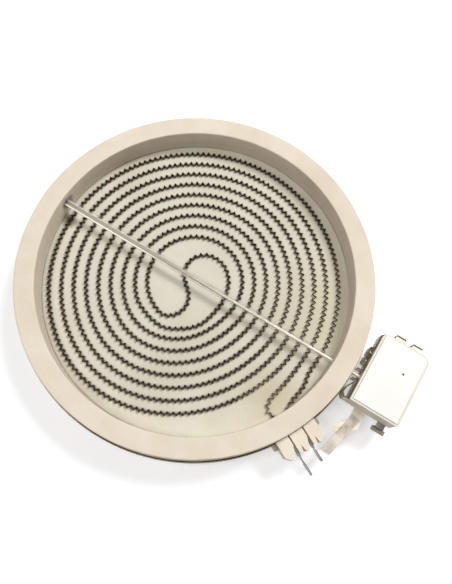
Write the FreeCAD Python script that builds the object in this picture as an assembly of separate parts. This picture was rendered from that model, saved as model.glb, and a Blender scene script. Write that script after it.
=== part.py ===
import FreeCAD, Part
import math
import os

from FreeCAD import Vector

# Radiant surface element for a glass ceramic hob.
# The origin is the centre of the flat dish bottom, +Z is up, towards the glass.
# +X runs along the limiter tube, from the middle of the dish to the switch head.
# All lengths are millimetres, all angles degrees.

os.makedirs("parts", exist_ok=True)

# Dish, one pressed steel pan
dish_outer_radius = 115.5
dish_height = 21.0
dish_sheet = 0.6
dish_corner = 2.4

# Insulation: a pressed disc with a wall ring standing on its margin
base_thickness = 13.4
base_side_gap = 0.3
ring_height = 16.6
ring_width = 13.5
ring_lean = 0.8
ring_side_gap = 0.3

# Heating ribbon, one folded strip on edge, laid as a double spiral
ribbon_height = 2.0
ribbon_foot = 0.4
ribbon_fit = 0.05
fold_pitch = 5.5
fold_depth = 2.4
plain_folds = 1
turn_pitch = 7.95
inner_turn = 3.93
ribbon_wall_gap = 4.0
spiral_centre_x = -0.8
spiral_centre_y = -1.1
drift_end_past_block = 17.9
drift_sweep = 115.0
arc_steps = 16
drift_steps = 8

# Centre curve of the double spiral, in turn pitches from the spiral centre
s_curve = [
    (-0.67, -3.84),
    (0.14, -3.39),
    (0.55, -2.45),
    (0.30, -1.42),
    (-0.45, -0.68),
    (-1.20, 0.20),
    (-1.18, 1.60),
    (-0.21, 2.50),
    (1.16, 2.47),
    (2.30, 1.57),
    (2.86, 0.10),
    (2.82, -1.38),
    (2.35, -2.97),
    (1.29, -4.03),
    (-0.24, -4.72),
]

# Ribbon ends: distance in from the ring wall, distance along the terminal block
outer_approach = [(1.6, 6.6), (3.2, 11.0), (6.6, 21.5)]
inner_approach = [(3.3, -6.0), (6.3, -6.2), (10.1, -1.8), (14.0, 11.9)]
ribbon_end_reach = 1.2

# Limiter tube and the rod inside it
tube_radius = 2.6
tube_wall = 0.75
tube_fit = 0.3
tube_offset = -2.0
tube_below_ring_top = 8.5
tube_end_cover = 3.0
rod_radius = 1.1
rod_fit = 0.1
nut_across_flats = 4.4
nut_length = 3.0
rod_end_past_nut = 1.2

# Limiter head: a ceramic tray with a ceramic lid
head_stand_off = 4.5
head_length = 32.0
head_below_tube = 16.7
head_above_tube = 31.0
head_bottom_below_tube = 6.6
head_body_height = 13.4
head_wall = 2.4
head_floor = 2.4
near_low_corner = 1.0
near_high_corner = 3.0
far_high_corner = 5.5
far_low_corner = 2.0
lid_thickness = 2.2
lid_pin_across_flats = 1.3
lid_pin_along = 20.9
lid_pin_side = 13.3
lid_pin_recess = 0.3
lid_seat_depth = 1.6
lid_inset = 1.3
lid_fit = 0.15
tube_socket_depth = 1.6
rod_into_head = 4.0

# Limiter switch: terminals, leaf springs and striker
strip_thickness = 0.8
strip_fit = 0.1
spring_thickness = 0.3
spring_height = 6.0
spring_floor_gap = 0.5
tip_size = 3.0
tip_thickness = 0.4
signal_gap = 0.4
power_spring_along = 10.7
signal_spring_along = 21.8
post_length = 5.0
post_inset = 3.6
striker_side = 3.2
striker_nose_side = 1.6
striker_hole_fit = 0.3
striker_play = 0.1

# Tabs on the high side of the head
tab_width = 6.3
tab_reach = 3.9
tab_drop = 9.0
tab_shelf_below_rim = 2.5
tab_shelf_width = 3.0
tab_shoulder_gap = 0.3

# Signal tab on the low side of the head
signal_neck_width = 5.4
signal_neck_reach = 3.4
signal_neck_drop = 4.0
signal_foot_width = 8.8
signal_foot_reach = 2.6
signal_foot_shift = 0.6

# Link plate, the power terminal on the low side of the head
link_plate_lead = 2.6
link_plate_width = 8.0
link_neck_reach = 8.5
link_lug_back = 6.3
link_lug_reach = 16.4
link_lug_end = 2.9
link_far_reach = 11.0

# Bracket between dish and head
bracket_sheet = 0.8
bracket_height = 10.0
bracket_wrap = 6.5
bracket_slot_gap = 0.4
bracket_cheek_depth = 3.4
bracket_end_inset = 0.7
bracket_end_width = 2.7
bracket_weld_from_tube = 14.3
bracket_weld_length = 3.6
bracket_tail_end = -7.4
bracket_tail_gap = 1.6
loop_depth = 2.3
loop_width = 6.0
loop_spacing = 6.2
loop_start = 18.2
loop_taper = 0.9

# Terminal block, on the dish wall beside the head
block_from_tube = 54.1
block_height = 12.0
slot_floor_above_base = 0.2
block_fit = 0.1
block_ear_half_width = 16.0
block_ear_depth = 1.8
block_ear_height = 6.0
block_ear_top_below_rim = 1.0
block_half_width = 13.5
block_lip_height = 3.3
block_lip_gap = 0.2
block_depth = 12.2
finger_round = 1.8
finger_cut = 1.2
slot_offset = 4.9
slot_straight = 4.2
slot_flare = 2.5
slot_floor = 1.7
rib_width = 3.0
rib_set_back = 1.5
groove_depth = 5.3
groove_width = 1.5
boss_half_width = 9.2
boss_rise = 0.9
window_gap = 0.2
hook_width = 2.2
hook_gap = 0.2
hook_drop = 4.0

# Blades in the terminal block
blade_thickness = 0.8
blade_fit = 0.1
blade_tail_height = 2.7
blade_tail_reach = 0.5
blade_body_height = 7.7
blade_neck_height = 3.0
blade_tab_height = 6.3
blade_tab_length = 7.6
blade_tip_cut = 1.2
free_neck_length = 5.0
linked_neck_length = 1.6
lead_slot_width = 2.8
lead_slot_gap = 0.7

# Link strip, welded between the linked blade and the limiter
link_thickness = 0.5
link_flap_height = 5.0
link_flap_from_tip = 0.4
link_width = 5.9
link_from_blade = 5.0
link_end_shift = 0.4
link_end_from_head = 5.0

# Levels and radii worked out from the sizes above
dish_inner_radius = dish_outer_radius - dish_sheet
base_top = dish_sheet + base_thickness
base_radius = dish_inner_radius - dish_corner - base_side_gap
ring_top = base_top + ring_height
ring_foot_radius = dish_inner_radius - ring_side_gap
ring_top_radius = ring_foot_radius - ring_lean
ring_inner_radius = ring_foot_radius - ring_width
tube_level = ring_top - tube_below_ring_top
head_near = dish_outer_radius + head_stand_off
head_far = head_near + head_length
head_low_side = tube_offset - head_below_tube
head_high_side = tube_offset + head_above_tube
head_bottom = tube_level - head_bottom_below_tube
head_rim = head_bottom + head_body_height
floor_top = head_bottom + head_floor
spring_low = floor_top + spring_floor_gap
block_azimuth = -math.degrees(block_from_tube / dish_outer_radius)
slot_bottom = base_top + slot_floor_above_base
blade_low = slot_bottom + blade_fit
lead_slot_top = blade_low + blade_tail_height + lead_slot_gap
block_bottom = slot_bottom - slot_floor
block_top = block_bottom + block_height
block_back = dish_outer_radius + block_fit
block_front = block_back + block_depth
plate_top = head_bottom + strip_thickness
shelf_top = head_rim - tab_shelf_below_rim
tiny = 0.01


def box(low, high):
    """A box between two opposite corners."""
    size = [high[axis] - low[axis] for axis in range(3)]
    return Part.makeBox(*size, Vector(*low))


def cylinder_x(radius, start, end, y, z):
    """A round bar along X."""
    return Part.makeCylinder(radius, end - start, Vector(start, y, z), Vector(1, 0, 0))


def prism(points, low, high):
    """A flat outline in XY, given by its corners, raised from low to high."""
    corners = [Vector(x, y, low) for x, y in points]
    return polygon_face(corners).extrude(Vector(0, 0, high - low))


def revolved(profile):
    """A closed profile of radius and height, turned once about Z."""
    corners = [Vector(radius, 0, height) for radius, height in profile]
    return polygon_face(corners).revolve(Vector(0, 0, 0), Vector(0, 0, 1), 360)


def hexagon_x(across_flats, start, end, y, z):
    """A hexagonal bar along X."""
    corner_radius = across_flats / math.sqrt(3)
    corners = []
    for side in range(6):
        angle = math.radians(60 * side)
        corner_y = y + corner_radius * math.cos(angle)
        corner_z = z + corner_radius * math.sin(angle)
        corners.append(Vector(start, corner_y, corner_z))
    return polygon_face(corners).extrude(Vector(end - start, 0, 0))


def rounded_outline(corners, level):
    """A closed wire through corners given as x, y, radius; a radius of 0 stays sharp."""
    edges = []
    joints = []
    count = len(corners)
    for index, (x, y, radius) in enumerate(corners):
        corner = Vector(x, y, level)
        before = Vector(*corners[index - 1][:2], level) - corner
        after = Vector(*corners[(index + 1) % count][:2], level) - corner
        before.normalize()
        after.normalize()
        half_turn = before.getAngle(after) / 2
        reach = radius / math.tan(half_turn)
        middle = before + after
        middle.normalize()
        crown = corner + middle * (radius / math.sin(half_turn) - radius)
        joints.append((corner + before * reach, crown, corner + after * reach))
    for index, (start, crown, end) in enumerate(joints):
        if corners[index][2] > 0:
            edges.append(Part.Arc(start, crown, end).toShape())
        following = joints[(index + 1) % count][0]
        if end.distanceToPoint(following) > tiny:
            edges.append(Part.LineSegment(end, following).toShape())
    return Part.Wire(edges)


def rounded_prism(corners, low, high):
    """A plan with rounded corners, raised from low to high."""
    return Part.Face(rounded_outline(corners, low)).extrude(Vector(0, 0, high - low))


def bar_x(side, start, end, y, z):
    """A square bar along X."""
    half = side / 2
    return box((start, y - half, z - half), (end, y + half, z + half))


def band_outline(path, sheet):
    """Outline of a band of even thickness along a path, with mitred bends."""
    steps = []
    for start, end in zip(path, path[1:]):
        step = Vector(end[0] - start[0], end[1] - start[1], 0)
        step.normalize()
        steps.append(step)
    left = []
    right = []
    for index, (x, y) in enumerate(path):
        before = steps[max(index - 1, 0)]
        after = steps[min(index, len(steps) - 1)]
        side = Vector(-before.y - after.y, before.x + after.x, 0)
        side.multiply(sheet / 2 / (1 + before.dot(after)))
        left.append((x + side.x, y + side.y))
        right.append((x - side.x, y - side.y))
    return left + right[::-1]


def bent_band(path, sheet, low, high):
    """Sheet standing on edge, bent along a plan path."""
    return prism(band_outline(path, sheet), low, high)


def bent_strip(path, sheet, near, far):
    """Sheet lying between two planes across X, bent along a path of Y and Z."""
    corners = [Vector(near, y, z) for y, z in band_outline(path, sheet)]
    return polygon_face(corners).extrude(Vector(far - near, 0, 0))


def polygon_face(corners):
    """A flat face with straight sides."""
    return Part.Face(Part.makePolygon(corners + corners[:1]))


def at_azimuth(shape, azimuth):
    """Turns a shape built along +X round to its place on the dish."""
    turned = shape.copy()
    turned.rotate(Vector(0, 0, 0), Vector(0, 0, 1), azimuth)
    return turned


def block_to_dish(reach, along):
    """Plan point of the terminal block: distance out, distance along the block."""
    angle = math.radians(block_azimuth)
    x = reach * math.cos(angle) - along * math.sin(angle)
    y = reach * math.sin(angle) + along * math.cos(angle)
    return (x, y)


def save(name, shape):
    """Writes one piece under its own name."""
    if not shape.isValid():
        raise ValueError(name + " isn't a valid shape")
    shape.exportStep("parts/" + name + ".step")


# Dish and insulation
def dish_hook(side):
    """A lanced tab of the dish, bent over one ear of the terminal block."""
    ear_top = dish_height - block_ear_top_below_rim
    start = block_half_width + hook_gap
    near, far = sorted((side * start, side * (start + hook_width)))
    ear_face = block_back + block_ear_depth + block_fit
    shelf_low = ear_top + block_fit
    shelf = box(
        (dish_inner_radius - dish_sheet, near, shelf_low),
        (ear_face + dish_sheet, far, shelf_low + dish_sheet),
    )
    tongue = box(
        (ear_face, near, ear_top - hook_drop),
        (ear_face + dish_sheet, far, shelf_low + dish_sheet),
    )
    inside = Part.makeCylinder(dish_inner_radius, dish_height + dish_sheet)
    return shelf.fuse(tongue).cut(inside)


def make_dish():
    corner = dish_corner
    inner_corner = corner - dish_sheet * (math.sqrt(2) - 1)
    profile = [
        (0, 0),
        (dish_outer_radius - corner, 0),
        (dish_outer_radius, corner),
        (dish_outer_radius, dish_height),
        (dish_inner_radius, dish_height),
        (dish_inner_radius, dish_sheet + inner_corner),
        (dish_inner_radius - inner_corner, dish_sheet),
        (0, dish_sheet),
    ]
    dish = revolved(profile)
    window_half = boss_half_width + window_gap
    window = box(
        (dish_inner_radius - 2 * dish_sheet, -window_half, block_bottom + boss_rise - window_gap),
        (dish_outer_radius + dish_sheet, window_half, ring_top),
    )
    dish = dish.cut(at_azimuth(window, block_azimuth))
    notch_half = tube_radius + tube_fit
    for side in (-1, 1):
        near, far = sorted((side * ring_top_radius, side * (dish_outer_radius + dish_sheet)))
        notch = box(
            (near, tube_offset - notch_half, tube_level - notch_half),
            (far, tube_offset + notch_half, ring_top),
        )
        dish = dish.cut(notch)
    for side in (-1, 1):
        dish = dish.fuse(at_azimuth(dish_hook(side), block_azimuth))
    return dish


def make_base():
    return Part.makeCylinder(base_radius, base_thickness, Vector(0, 0, dish_sheet))


def make_ring():
    profile = [
        (ring_inner_radius, base_top),
        (ring_foot_radius, base_top),
        (ring_top_radius, ring_top),
        (ring_inner_radius, ring_top),
    ]
    ring = revolved(profile)
    for side in (-1, 1):
        start, end = sorted((side * base_radius / 2, side * dish_outer_radius))
        ring = ring.cut(cylinder_x(tube_radius + tube_fit, start, end, tube_offset, tube_level))
        slot_middle = side * (slot_offset + ribbon_foot / 2)
        slot = box(
            (base_radius / 2, slot_middle - lead_slot_width / 2, base_top - tiny),
            (dish_outer_radius, slot_middle + lead_slot_width / 2, lead_slot_top),
        )
        ring = ring.cut(at_azimuth(slot, block_azimuth))
    return ring


# Heating ribbon
def turn_radius(turn):
    return (inner_turn + turn) * turn_pitch


def strand_points(outer_turn):
    """Centre line of one strand, from outside inwards.

    A strand keeps its radius over most of each turn, then drifts in by two turn pitches
    beside the terminal block, because the other strand of the double spiral lies between.
    """
    drift_end = block_azimuth + drift_end_past_block
    drift_start = drift_end + 360 - drift_sweep
    points = []
    for turn in range(outer_turn, -1, -2):
        for step in range(arc_steps):
            angle = drift_end + (drift_start - drift_end) * step / arc_steps
            points.append((turn_radius(turn), angle))
        if turn < 2:
            points.append((turn_radius(turn), drift_start))
            break
        for step in range(drift_steps):
            share = step / drift_steps
            ease = (1 - math.cos(math.pi * share)) / 2
            radius = turn_radius(turn) + (turn_radius(turn - 2) - turn_radius(turn)) * ease
            points.append((radius, drift_start + drift_sweep * share))
    plan = []
    for radius, angle in points:
        x = spiral_centre_x + radius * math.cos(math.radians(angle))
        y = spiral_centre_y + radius * math.sin(math.radians(angle))
        plan.append((x, y))
    return plan


def approach_points(offsets, side):
    """From the slot in the ring wall to the start of a strand."""
    blade_face = slot_offset + blade_thickness / 2
    end_line = side * (blade_face + ribbon_foot / 2 + ribbon_fit)
    plan = [
        block_to_dish(ring_inner_radius + ribbon_end_reach, end_line),
        block_to_dish(ring_inner_radius - ribbon_end_reach / 2, end_line),
    ]
    for inward, along in offsets:
        plan.append(block_to_dish(ring_inner_radius - inward, along))
    return plan


def ribbon_centre_line():
    room = ring_inner_radius - ribbon_wall_gap
    outer_turn = int(room / turn_pitch - inner_turn)
    middle = []
    for x, y in s_curve:
        middle.append((spiral_centre_x + x * turn_pitch, spiral_centre_y + y * turn_pitch))
    if outer_turn % 2:
        middle.reverse()
    way_in = approach_points(outer_approach, 1) + strand_points(outer_turn)
    way_out = approach_points(inner_approach, -1) + strand_points(outer_turn - 1)
    path = way_in + middle + way_out[::-1]
    curve = Part.BSplineCurve()
    curve.interpolate([Vector(x, y, base_top) for x, y in path])
    return curve.toShape()


def fold_points():
    """Crests of the folded strip, alternately left and right of its centre line."""
    line = ribbon_centre_line()
    folds = int(line.Length / fold_pitch)
    middle = line.discretize(Number=2 * folds + 1)
    crests = []
    last = len(middle) - 1
    for index, point in enumerate(middle):
        along = middle[min(index + 1, last)] - middle[max(index - 1, 0)]
        along.normalize()
        side = Vector(-along.y, along.x, 0)
        swing = fold_depth / 2
        if min(index, last - index) <= 2 * plain_folds:
            swing = 0
        if index % 2:
            swing = -swing
        crests.append(point + side * swing)
    return crests


def make_ribbon():
    """The folded strip: each flank leans from a foot of ribbon_foot to a fine upper edge."""
    crests = fold_points()
    steps = []
    for start, end in zip(crests, crests[1:]):
        step = end - start
        step.normalize()
        steps.append(step)
    left = []
    right = []
    top = []
    for index, crest in enumerate(crests):
        before = steps[max(index - 1, 0)]
        after = steps[min(index, len(steps) - 1)]
        side = Vector(-before.y - after.y, before.x + after.x, 0)
        side.multiply(ribbon_foot / 2 / (1 + before.dot(after)))
        left.append(crest + side)
        right.append(crest - side)
        top.append(crest + Vector(0, 0, ribbon_height))
    faces = []
    for near in range(len(crests) - 1):
        far = near + 1
        faces.append(polygon_face([left[near], left[far], top[far], top[near]]))
        faces.append(polygon_face([right[near], top[near], top[far], right[far]]))
        faces.append(polygon_face([left[near], right[near], right[far], left[far]]))
    for end in (0, -1):
        faces.append(polygon_face([left[end], top[end], right[end]]))
    shell = Part.makeShell(faces)
    shell.sewShape()
    solid = Part.makeSolid(shell)
    if solid.Volume < 0:
        solid.reverse()
    return solid


# Limiter tube, rod and nut
def tube_far_end():
    return -(ring_inner_radius + tube_end_cover)


def make_tube():
    start = tube_far_end()
    end = head_near + tube_socket_depth
    outside = cylinder_x(tube_radius, start, end, tube_offset, tube_level)
    bore = cylinder_x(tube_radius - tube_wall, start, end, tube_offset, tube_level)
    return outside.cut(bore)


def make_rod():
    start = tube_far_end() - nut_length - rod_end_past_nut
    return cylinder_x(rod_radius, start, head_near + rod_into_head, tube_offset, tube_level)


def make_nut():
    end = tube_far_end()
    start = end - nut_length
    nut = hexagon_x(nut_across_flats, start, end, tube_offset, tube_level)
    hole = cylinder_x(rod_radius + rod_fit, start, end, tube_offset, tube_level)
    return nut.cut(hole)


# Limiter head
def head_corners(inset):
    """Head outline, set in by one distance all round."""
    return [
        (head_near + inset, head_low_side + inset, max(near_low_corner - inset, 0)),
        (head_far - inset, head_low_side + inset, max(far_low_corner - inset, 0)),
        (head_far - inset, head_high_side - inset, max(far_high_corner - inset, 0)),
        (head_near + inset, head_high_side - inset, max(near_high_corner - inset, 0)),
    ]


def make_head_body():
    body = rounded_prism(head_corners(0), head_bottom, head_rim)
    cavity = rounded_prism(head_corners(head_wall), floor_top, head_rim + tiny)
    seat = rounded_prism(head_corners(lid_inset - lid_fit), head_rim - lid_seat_depth, head_rim + tiny)
    body = body.cut(cavity).cut(seat)
    socket = cylinder_x(
        tube_radius + tube_fit / 2,
        head_near - head_wall,
        head_near + tube_socket_depth,
        tube_offset,
        tube_level,
    )
    rod_hole = cylinder_x(
        rod_radius + rod_fit,
        head_near,
        head_near + 2 * head_wall,
        tube_offset,
        tube_level,
    )
    body = body.cut(socket).cut(rod_hole)
    for terminal in (power_terminal, supply_terminal, lamp_terminal, signal_terminal):
        body = body.cut(terminal(strip_fit))
    return body


def make_lid():
    level = head_rim - lid_seat_depth
    lid = rounded_prism(head_corners(lid_inset), level, level + lid_thickness)
    return lid.cut(hexagonal_pin(level, level + lid_thickness))


def make_lid_pin():
    level = head_rim - lid_seat_depth
    return hexagonal_pin(level, level + lid_thickness - lid_pin_recess)


def hexagonal_pin(low, high):
    """Upright pin in the lid, beside its middle line."""
    radius = lid_pin_across_flats / math.sqrt(3)
    corners = []
    for corner in range(6):
        angle = math.radians(60 * corner)
        along = head_near + lid_pin_along + radius * math.cos(angle)
        side = tube_offset + lid_pin_side + radius * math.sin(angle)
        corners.append((along, side))
    return prism(corners, low, high)


# Limiter terminals and switch
def power_face():
    """Plane of the power spring's face towards the tube."""
    return head_near + power_spring_along


def signal_face():
    """Plane of the signal spring's face towards the tube."""
    return head_near + signal_spring_along


def post_start(high):
    """Where the upright of a terminal starts along Y, at the high or low side."""
    if high:
        return head_high_side - head_wall - post_inset - post_length
    return head_low_side + head_wall + post_inset


def post(face, far_side, high, low_end, high_end, clearance):
    """Upright of a terminal, standing on edge; face is its plane along X."""
    near, far = sorted((face, face + far_side * strip_thickness))
    start = post_start(high)
    return box(
        (near - clearance, start - clearance, low_end - clearance),
        (far + clearance, start + post_length + clearance, high_end),
    )


def high_terminal(face, clearance):
    """Terminal on the high side: an upright, a shelf out through the wall, a tab that drops."""
    far = face + tab_shelf_width
    middle = shelf_top - strip_thickness / 2
    bend = head_high_side + tab_reach - strip_thickness / 2
    shelf = box(
        (face - clearance, post_start(True), shelf_top - strip_thickness - clearance),
        (far + clearance, bend, shelf_top + clearance),
    )
    tab_path = [
        (head_high_side + tab_shoulder_gap, middle),
        (bend, middle),
        (bend, shelf_top - tab_drop),
    ]
    tab = bent_strip(tab_path, strip_thickness, far - tab_width, far)
    upright = post(face, 1, True, floor_top + strip_fit, shelf_top, 0)
    return shelf.fuse(tab).fuse(upright).removeSplitter()


def supply_terminal(clearance=0.0):
    return high_terminal(power_face() + spring_thickness, clearance)


def lamp_terminal(clearance=0.0):
    return high_terminal(signal_face() + spring_thickness, clearance)


def link_plate_edges():
    """The link plate's two long edges along X."""
    near = power_face() - tip_thickness - strip_thickness - link_plate_lead
    return near, near + link_plate_width


def power_terminal(clearance=0.0):
    """Plate under the low side of the head that carries the link strip."""
    face = power_face() - tip_thickness
    near, far = link_plate_edges()
    neck = head_low_side - link_neck_reach
    lug = head_low_side - link_lug_reach
    outline = [
        (near, head_low_side + tiny),
        (near, neck),
        (near - link_lug_back, lug),
        (near - link_lug_back + link_lug_end, lug - link_lug_end),
        (far, head_low_side - link_far_reach),
        (far, head_low_side + tiny),
    ]
    tongue = prism(outline, head_bottom, plate_top)
    plate = box(
        (near - clearance, head_low_side - tiny, head_bottom - clearance),
        (face + clearance, post_start(False) + post_length + clearance, plate_top + clearance),
    )
    upright = post(face, -1, False, head_bottom, spring_low + spring_height, clearance)
    return tongue.fuse(plate).fuse(upright).removeSplitter()


def signal_terminal(clearance=0.0):
    """Plate under the low side of the head, with a tab that drops and turns out."""
    face = signal_face() + spring_thickness + signal_gap + tip_thickness
    far = face + signal_neck_width
    half = strip_thickness / 2
    bend = head_low_side - signal_neck_reach + half
    foot_level = head_bottom - signal_neck_drop + half
    plate = box(
        (face - clearance, head_low_side - tiny, head_bottom - clearance),
        (far + clearance, post_start(False) + post_length + clearance, plate_top + clearance),
    )
    neck_path = [
        (head_low_side, head_bottom + half),
        (bend, head_bottom + half),
        (bend, foot_level - half),
    ]
    neck = bent_strip(neck_path, strip_thickness, face, far)
    middle = (face + far) / 2 + signal_foot_shift
    foot_path = [(bend + half, foot_level), (bend - signal_foot_reach, foot_level)]
    foot = bent_strip(
        foot_path,
        strip_thickness,
        middle - signal_foot_width / 2,
        middle + signal_foot_width / 2,
    )
    upright = post(face, 1, False, head_bottom, spring_low + spring_height, clearance)
    return plate.fuse(neck).fuse(foot).fuse(upright).removeSplitter()


def leaf_spring(face, with_hole):
    """Leaf standing on edge, welded to its high-side post, free at the low side."""
    leaf = box(
        (face, post_start(False), spring_low),
        (face + spring_thickness, post_start(True) + post_length, spring_low + spring_height),
    )
    if with_hole:
        hole = bar_x(
            striker_nose_side + 2 * striker_hole_fit,
            face - tiny,
            face + spring_thickness + tiny,
            tube_offset,
            tube_level,
        )
        leaf = leaf.cut(hole)
    return leaf


def contact_tip(face):
    """Square contact tip on the free side of a post, face towards the spring."""
    middle = post_start(False) + post_length / 2
    level = spring_low + spring_height / 2
    return box(
        (face, middle - tip_size / 2, level - tip_size / 2),
        (face + tip_thickness, middle + tip_size / 2, level + tip_size / 2),
    )


def make_striker():
    """Square stepped ceramic pin between the rod and the two springs."""
    start = head_near + rod_into_head
    shoulder = power_face() - striker_play
    body = bar_x(striker_side, start, shoulder, tube_offset, tube_level)
    nose = bar_x(striker_nose_side, shoulder, signal_face() - striker_play, tube_offset, tube_level)
    return body.fuse(nose)


# Bracket between dish and head
def bracket_path():
    """Plan path of the bracket's middle, round the head and back to the dish wall."""
    half = bracket_sheet / 2
    line = head_near - half
    side = head_high_side + half
    corner = near_high_corner
    bend = (corner + half) * math.tan(math.pi / 8)
    path = [
        (head_near + bracket_wrap, side),
        (head_near + corner - bend, side),
        (line, head_high_side - corner + bend),
    ]
    for loop in range(2):
        start = loop_start - loop * loop_spacing
        path += [
            (line, start),
            (line - loop_depth, start - loop_taper),
            (line - loop_depth, start - loop_width + 2 * loop_taper),
            (line, start - loop_width + loop_taper),
        ]
    end = head_low_side + bracket_end_inset
    path.append((line, end))
    path.append((line - bracket_end_width, end - half))
    half_span = bracket_weld_length / 2 / dish_outer_radius
    reach = (dish_outer_radius + half) / math.cos(half_span)
    for turn in (-half_span, half_span):
        angle = turn - bracket_weld_from_tube / dish_outer_radius
        path.append((reach * math.cos(angle), reach * math.sin(angle)))
    path.append((line - bracket_tail_gap, bracket_tail_end))
    return path


def bracket_cheek(side):
    """One of two lugs beside the tube, bent out of the tube slot towards the ring."""
    near = tube_offset + side * (tube_radius + bracket_slot_gap)
    far = near + side * bracket_sheet
    low, high = sorted((near, far))
    return box(
        (head_near - bracket_sheet - bracket_cheek_depth, low, tube_level - tube_radius),
        (head_near - tiny, high, head_bottom + bracket_height),
    )


def make_bracket():
    high = head_bottom + bracket_height
    band = bent_band(bracket_path(), bracket_sheet, head_bottom, high)
    slot_half = tube_radius + bracket_slot_gap
    slot = box(
        (head_near - 2 * bracket_sheet, tube_offset - slot_half, tube_level - slot_half),
        (head_near + bracket_sheet, tube_offset + slot_half, high + tiny),
    )
    bracket = band.cut(slot)
    for side in (-1, 1):
        bracket = bracket.fuse(bracket_cheek(side))
    return bracket.removeSplitter()


# Terminal block and blades
def block_mouth(side):
    """What the mouth of one blade slot takes away: a flare, a guide rib's end and a groove."""
    gap = blade_thickness / 2 + blade_fit
    slot = side * slot_offset
    mouth = block_back + slot_straight
    groove = slot + gap + rib_width
    flare = slot - gap - slot_flare
    outline = [
        (mouth, slot - gap),
        (block_front - finger_cut, flare),
        (block_front + tiny, flare - finger_cut),
        (block_front + tiny, groove + groove_width / 2 + finger_cut),
        (block_front - finger_cut, groove + groove_width / 2),
        (block_front - groove_depth, groove),
        (block_front - rib_set_back, groove - groove_width / 2),
        (block_front - rib_set_back, slot + gap),
        (mouth, slot + gap),
    ]
    return prism(outline, block_bottom - tiny, block_top + tiny)


def block_channel(side):
    """Straight part of one blade slot, open at the top and through to the ring wall."""
    gap = blade_thickness / 2 + blade_fit
    slot = side * slot_offset
    return box(
        (dish_inner_radius - block_depth, slot - gap, slot_bottom),
        (block_back + slot_straight + tiny, slot + gap, block_top + tiny),
    )


def block_lip():
    """Ledge of the block that reaches over the dish rim to the ring."""
    low = dish_height + block_lip_gap
    ledge = box(
        (dish_inner_radius - block_depth, -block_half_width, low),
        (block_back + dish_sheet, block_half_width, low + block_lip_height),
    )
    ring_radius = ring_foot_radius - ring_lean * (low - base_top) / ring_height
    ring_room = Part.makeCylinder(ring_radius + block_fit, ring_top + block_lip_height)
    return ledge.cut(ring_room)


def make_block():
    half = block_half_width
    shoulder = 2 * finger_round
    plan = [
        (dish_inner_radius - dish_sheet, -half, 0),
        (block_front - shoulder, -half, finger_round),
        (block_front, -half + shoulder, finger_round),
        (block_front, half - shoulder, finger_round),
        (block_front - shoulder, half, finger_round),
        (dish_inner_radius - dish_sheet, half, 0),
    ]
    block = rounded_prism(plan, block_bottom, block_top)
    ear_top = dish_height - block_ear_top_below_rim
    ears = box(
        (dish_inner_radius - block_ear_depth, -block_ear_half_width, ear_top - block_ear_height),
        (block_back + block_ear_depth, block_ear_half_width, ear_top),
    )
    wall = Part.makeCylinder(block_back, block_top + dish_height)
    block = block.fuse(ears).cut(wall)
    boss = box(
        (dish_inner_radius - dish_sheet, -boss_half_width, block_bottom + boss_rise),
        (block_back + dish_sheet, boss_half_width, dish_height),
    )
    inside = Part.makeCylinder(dish_inner_radius - block_fit, block_top + dish_height)
    block = block.fuse(boss.cut(inside)).fuse(block_lip()).removeSplitter()
    for side in (-1, 1):
        block = block.cut(block_channel(side)).cut(block_mouth(side))
    return at_azimuth(block, block_azimuth)


def make_blade(side, neck_length):
    """Blade on edge in a block slot: tail inside the ring wall, body, neck and tab."""
    tail_start = ring_inner_radius - ribbon_end_reach - blade_tail_reach
    low = blade_low
    neck_start = block_front
    tab_start = neck_start + neck_length
    tab_end = tab_start + blade_tab_length
    middle = low + blade_body_height / 2
    neck = blade_neck_height / 2
    tab = blade_tab_height / 2
    cut = blade_tip_cut
    outline = [
        (tail_start, low),
        (neck_start, low),
        (neck_start, middle - neck),
        (tab_start, middle - neck),
        (tab_start, middle - tab),
        (tab_end - cut, middle - tab),
        (tab_end, middle - tab + cut),
        (tab_end, middle + tab - cut),
        (tab_end - cut, middle + tab),
        (tab_start, middle + tab),
        (tab_start, middle + neck),
        (neck_start, middle + neck),
        (neck_start, low + blade_body_height),
        (block_back, low + blade_body_height),
        (block_back, low + blade_tail_height),
        (tail_start, low + blade_tail_height),
    ]
    face = side * slot_offset - blade_thickness / 2
    corners = [Vector(x, face, z) for x, z in outline]
    blade = polygon_face(corners).extrude(Vector(0, blade_thickness, 0))
    return at_azimuth(blade, block_azimuth)


def make_link_strip():
    """Flat strip from a flap on the linked blade to the limiter's power terminal."""
    blade_face = slot_offset + blade_thickness / 2
    tip = block_front + linked_neck_length + blade_tab_length - link_flap_from_tip
    flap = box(
        (tip - link_width, blade_face, plate_top),
        (tip, blade_face + link_thickness, plate_top + link_flap_height),
    )
    near, far = link_plate_edges()
    path = [
        block_to_dish(tip - link_width / 2, blade_face),
        block_to_dish(tip - link_width / 2, blade_face + link_from_blade),
        ((near + far) / 2 - link_end_shift, head_low_side - link_end_from_head),
    ]
    strip = bent_band(path, link_width, plate_top, plate_top + link_thickness)
    return at_azimuth(flap, block_azimuth).fuse(strip).removeSplitter()


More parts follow.
